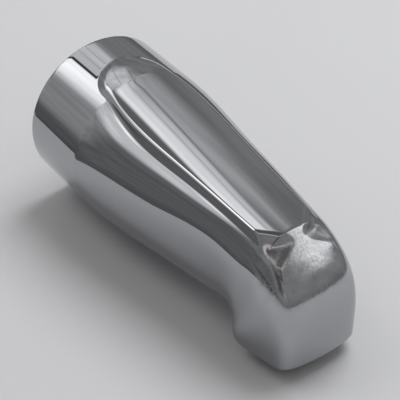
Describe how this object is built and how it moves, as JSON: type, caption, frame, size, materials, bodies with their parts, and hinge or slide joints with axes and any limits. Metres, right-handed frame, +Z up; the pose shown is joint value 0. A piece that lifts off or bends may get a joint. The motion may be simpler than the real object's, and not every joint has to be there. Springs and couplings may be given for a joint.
{
  "type": "tub spout",
  "caption": "Bath tub spout in polished chrome: a round wall end tapers to a nose that turns down, with a raised tongue along the top and a threaded inlet inside.",
  "frame": {"origin": "centre of the round wall-end face, on the axis of the supply pipe", "axes": "+X from the wall to the nose along the supply pipe, +Z up, +Y to the left of someone who faces the wall; the spout is mirror-symmetric about y = 0"},
  "size_m": [0.1475, 0.0642, 0.0662],
  "materials": {
    "chrome": "polished",
    "brass": "machined"
  },
  "bodies": {
    "root": {"spout_body": "chrome", "inlet_bushing": "brass"}
  },
  "joints": []
}
